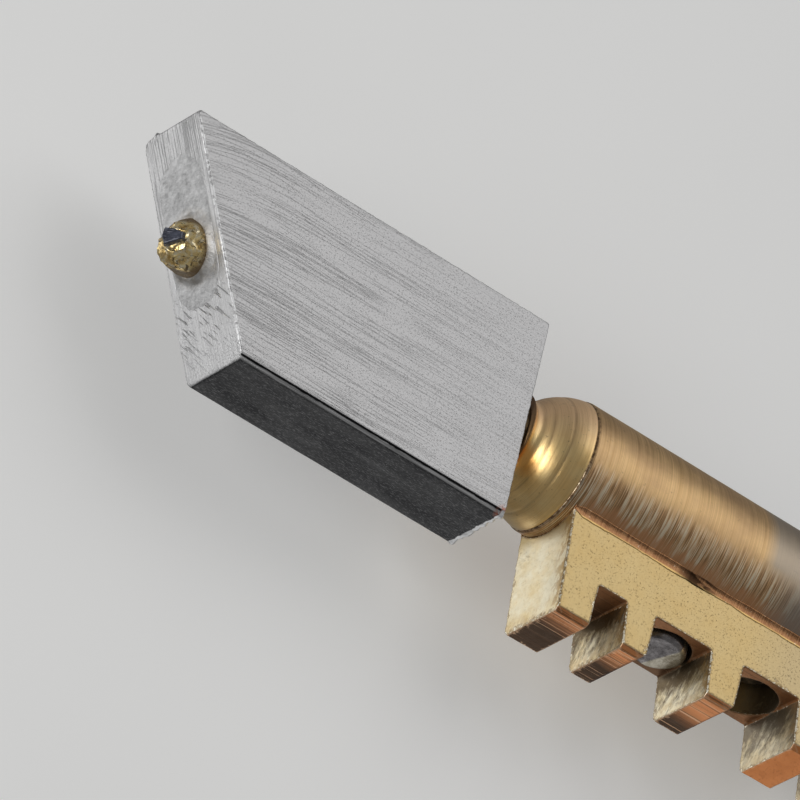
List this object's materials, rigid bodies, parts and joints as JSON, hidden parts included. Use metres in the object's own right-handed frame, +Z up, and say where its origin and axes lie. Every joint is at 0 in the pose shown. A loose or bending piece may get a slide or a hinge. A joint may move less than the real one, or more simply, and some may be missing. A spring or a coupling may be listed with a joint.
{
  "type": "diamond glass cutter",
  "caption": "Glass cutter with a diamond set in a swivelling flat steel head, a brass barrel with a slotted pane-breaking comb, and a turned wooden handle.",
  "frame": {"origin": "on the head's lower side face, the face that slides along the ruler, directly under the swivel axis and 15 mm ahead of the barrel's front rim", "axes": "+X from the nose to the butt of the handle, +Y away from the comb, +Z up with the cutter lying on its side"},
  "size_m": [0.1756, 0.0183, 0.0155],
  "materials": {
    "head_steel": "worn grey steel, fine lengthwise scratches",
    "solder": "dull grey solder",
    "setting_brass": "aged brass bead",
    "stud_brass": "plain brass",
    "diamond": "dark rough crystal",
    "stem_steel": "turned steel",
    "braze": "coppery braze",
    "washer_brass": "dark brass",
    "bush_brass": "polished, lightly lacquered brass",
    "barrel_brass": "brushed brass with a warm tarnish",
    "comb_brass": "matt sawn brass, pitted sides",
    "seam_solder": "golden solder bead",
    "pin_steel": "dark steel pin ends",
    "handle_wood": "oiled dark rosewood, lengthwise grain",
    "handle_pin_brass": "filed flush"
  },
  "bodies": {
    "handle_and_barrel": {"barrel": "barrel_brass", "neck_bush": "bush_brass", "thrust_washer": "washer_brass", "comb": "comb_brass", "comb_seam_upper": "seam_solder", "comb_seam_lower": "seam_solder", "stop_pin": "pin_steel", "comb_rivet": "pin_steel", "handle": "handle_wood", "handle_pin": "handle_pin_brass"},
    "head": {"head_block": "head_steel", "setting_solder": "solder", "setting_stud": "stud_brass", "setting_bead": "setting_brass", "diamond": "diamond", "swivel_stem": "stem_steel", "stem_braze": "braze"}
  },
  "joints": [
    {"name": "head_swivel", "type": "hinge", "parent": "handle_and_barrel", "child": "head", "pos_m": [0.011, 0, 0.00275], "axis": [1, 0, 0], "range_deg": [-10, 10]}
  ]
}
